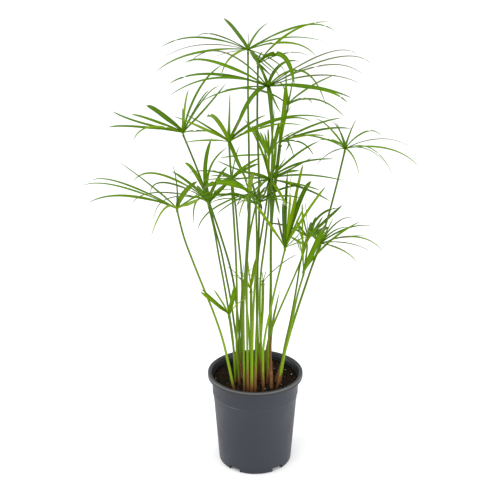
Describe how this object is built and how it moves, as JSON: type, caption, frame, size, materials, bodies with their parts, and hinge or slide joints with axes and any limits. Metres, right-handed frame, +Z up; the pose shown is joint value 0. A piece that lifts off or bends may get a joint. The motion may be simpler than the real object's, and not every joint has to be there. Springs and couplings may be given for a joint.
{
  "type": "potted papyrus plant",
  "caption": "Umbrella papyrus clump of slender culms with umbels of narrow arching bracts, rooted in potting mix in a round plastic nursery pot.",
  "frame": {"origin": "middle of the pot's underside, on the surface the pot stands on", "axes": "+Z up along the pot's axis; -Y is the front, towards the usual viewer; +X is to the viewer's right"},
  "size_m": [0.5189, 0.4691, 0.7611],
  "materials": {
    "pot": "matte",
    "potting_mix": "matte",
    "culm": "satin",
    "bract": "satin",
    "sheath": "matte"
  },
  "bodies": {
    "root": {"pot": "pot", "potting_mix": "potting_mix", "culm_01": "culm", "culm_02": "culm", "culm_03": "culm", "culm_04": "culm", "culm_05": "culm", "culm_06": "culm", "culm_07": "culm", "culm_08": "culm", "culm_09": "culm", "culm_10": "culm", "culm_11": "culm", "culm_12": "culm", "culm_13": "culm", "culm_14": "culm", "culm_15": "culm", "culm_16": "culm", "culm_17": "culm", "culm_18": "culm", "culm_19": "culm", "culm_20": "culm", "culm_21": "culm", "culm_22": "culm", "culm_23": "culm", "culm_24": "culm", "culm_25": "culm", "culm_26": "culm", "umbel_01": "bract", "umbel_02": "bract", "umbel_03": "bract", "umbel_04": "bract", "umbel_05": "bract", "umbel_06": "bract", "umbel_07": "bract", "umbel_08": "bract", "umbel_09": "bract", "umbel_10": "bract", "umbel_11": "bract", "umbel_12": "bract", "umbel_13": "bract", "umbel_14": "bract", "umbel_15": "bract", "umbel_16": "bract", "umbel_17": "bract", "umbel_18": "bract", "umbel_19": "bract", "umbel_20": "bract", "umbel_21": "bract", "umbel_22": "bract", "umbel_23": "bract", "umbel_24": "bract", "umbel_25": "bract", "umbel_26": "bract", "sheath_01": "sheath", "sheath_02": "sheath", "sheath_03": "sheath", "sheath_04": "sheath", "sheath_05": "sheath", "shoot_01": "culm"}
  },
  "joints": []
}
